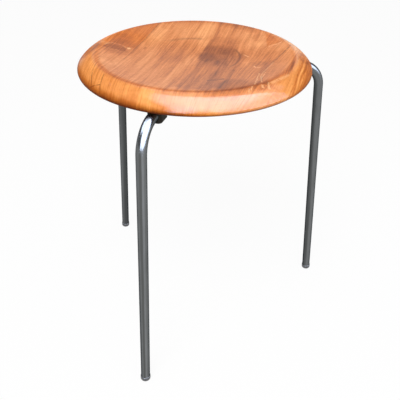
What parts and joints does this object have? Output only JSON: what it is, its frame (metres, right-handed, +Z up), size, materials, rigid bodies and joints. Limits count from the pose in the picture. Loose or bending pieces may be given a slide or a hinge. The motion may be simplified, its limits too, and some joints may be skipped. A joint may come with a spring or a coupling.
{
  "type": "stacking stool",
  "caption": "Round stacking stool: a shallow dished, teak-veneered plywood seat with a rolled rim on splayed, bent chromed tube legs with plastic feet and rubber stacking blocks.",
  "frame": {"origin": "on the floor under the middle of the seat", "axes": "+Z up along the seat's axis; the front leg points along -Y, the right leg lies at +30 degrees from +X and the left leg at 150 degrees"},
  "size_m": [0.4094, 0.4001, 0.4515],
  "materials": {
    "teak_veneer": "glossy clear lacquer over teak veneer, worn and scratched",
    "seat_plywood": "pressed plywood, edge sealed with lacquer",
    "backing_veneer": "satin lacquered backing veneer",
    "leg_chrome": "dulled chrome plating",
    "foot_plastic": "grey moulded plastic, scuffed",
    "block_rubber": "matt black rubber",
    "pad_rubber": "matt black rubber",
    "hub_steel": "zinc-plated steel",
    "weld_steel": "dark weld bead",
    "screw_steel": "zinc-plated steel",
    "insert_brass": "plain brass"
  },
  "bodies": {
    "root": {"seat_face_veneer": "teak_veneer", "seat_core": "seat_plywood", "seat_backing_veneer": "backing_veneer", "hub_plate": "hub_steel", "hub_pad": "pad_rubber", "hub_screws": "screw_steel", "hub_washers": "screw_steel", "hub_inserts": "insert_brass", "block_screws": "screw_steel", "leg_front": "leg_chrome", "foot_front": "foot_plastic", "stacking_block_front": "block_rubber", "leg_welds_front": "weld_steel", "leg_right": "leg_chrome", "foot_right": "foot_plastic", "stacking_block_right": "block_rubber", "leg_welds_right": "weld_steel", "leg_left": "leg_chrome", "foot_left": "foot_plastic", "stacking_block_left": "block_rubber", "leg_welds_left": "weld_steel"}
  },
  "joints": []
}
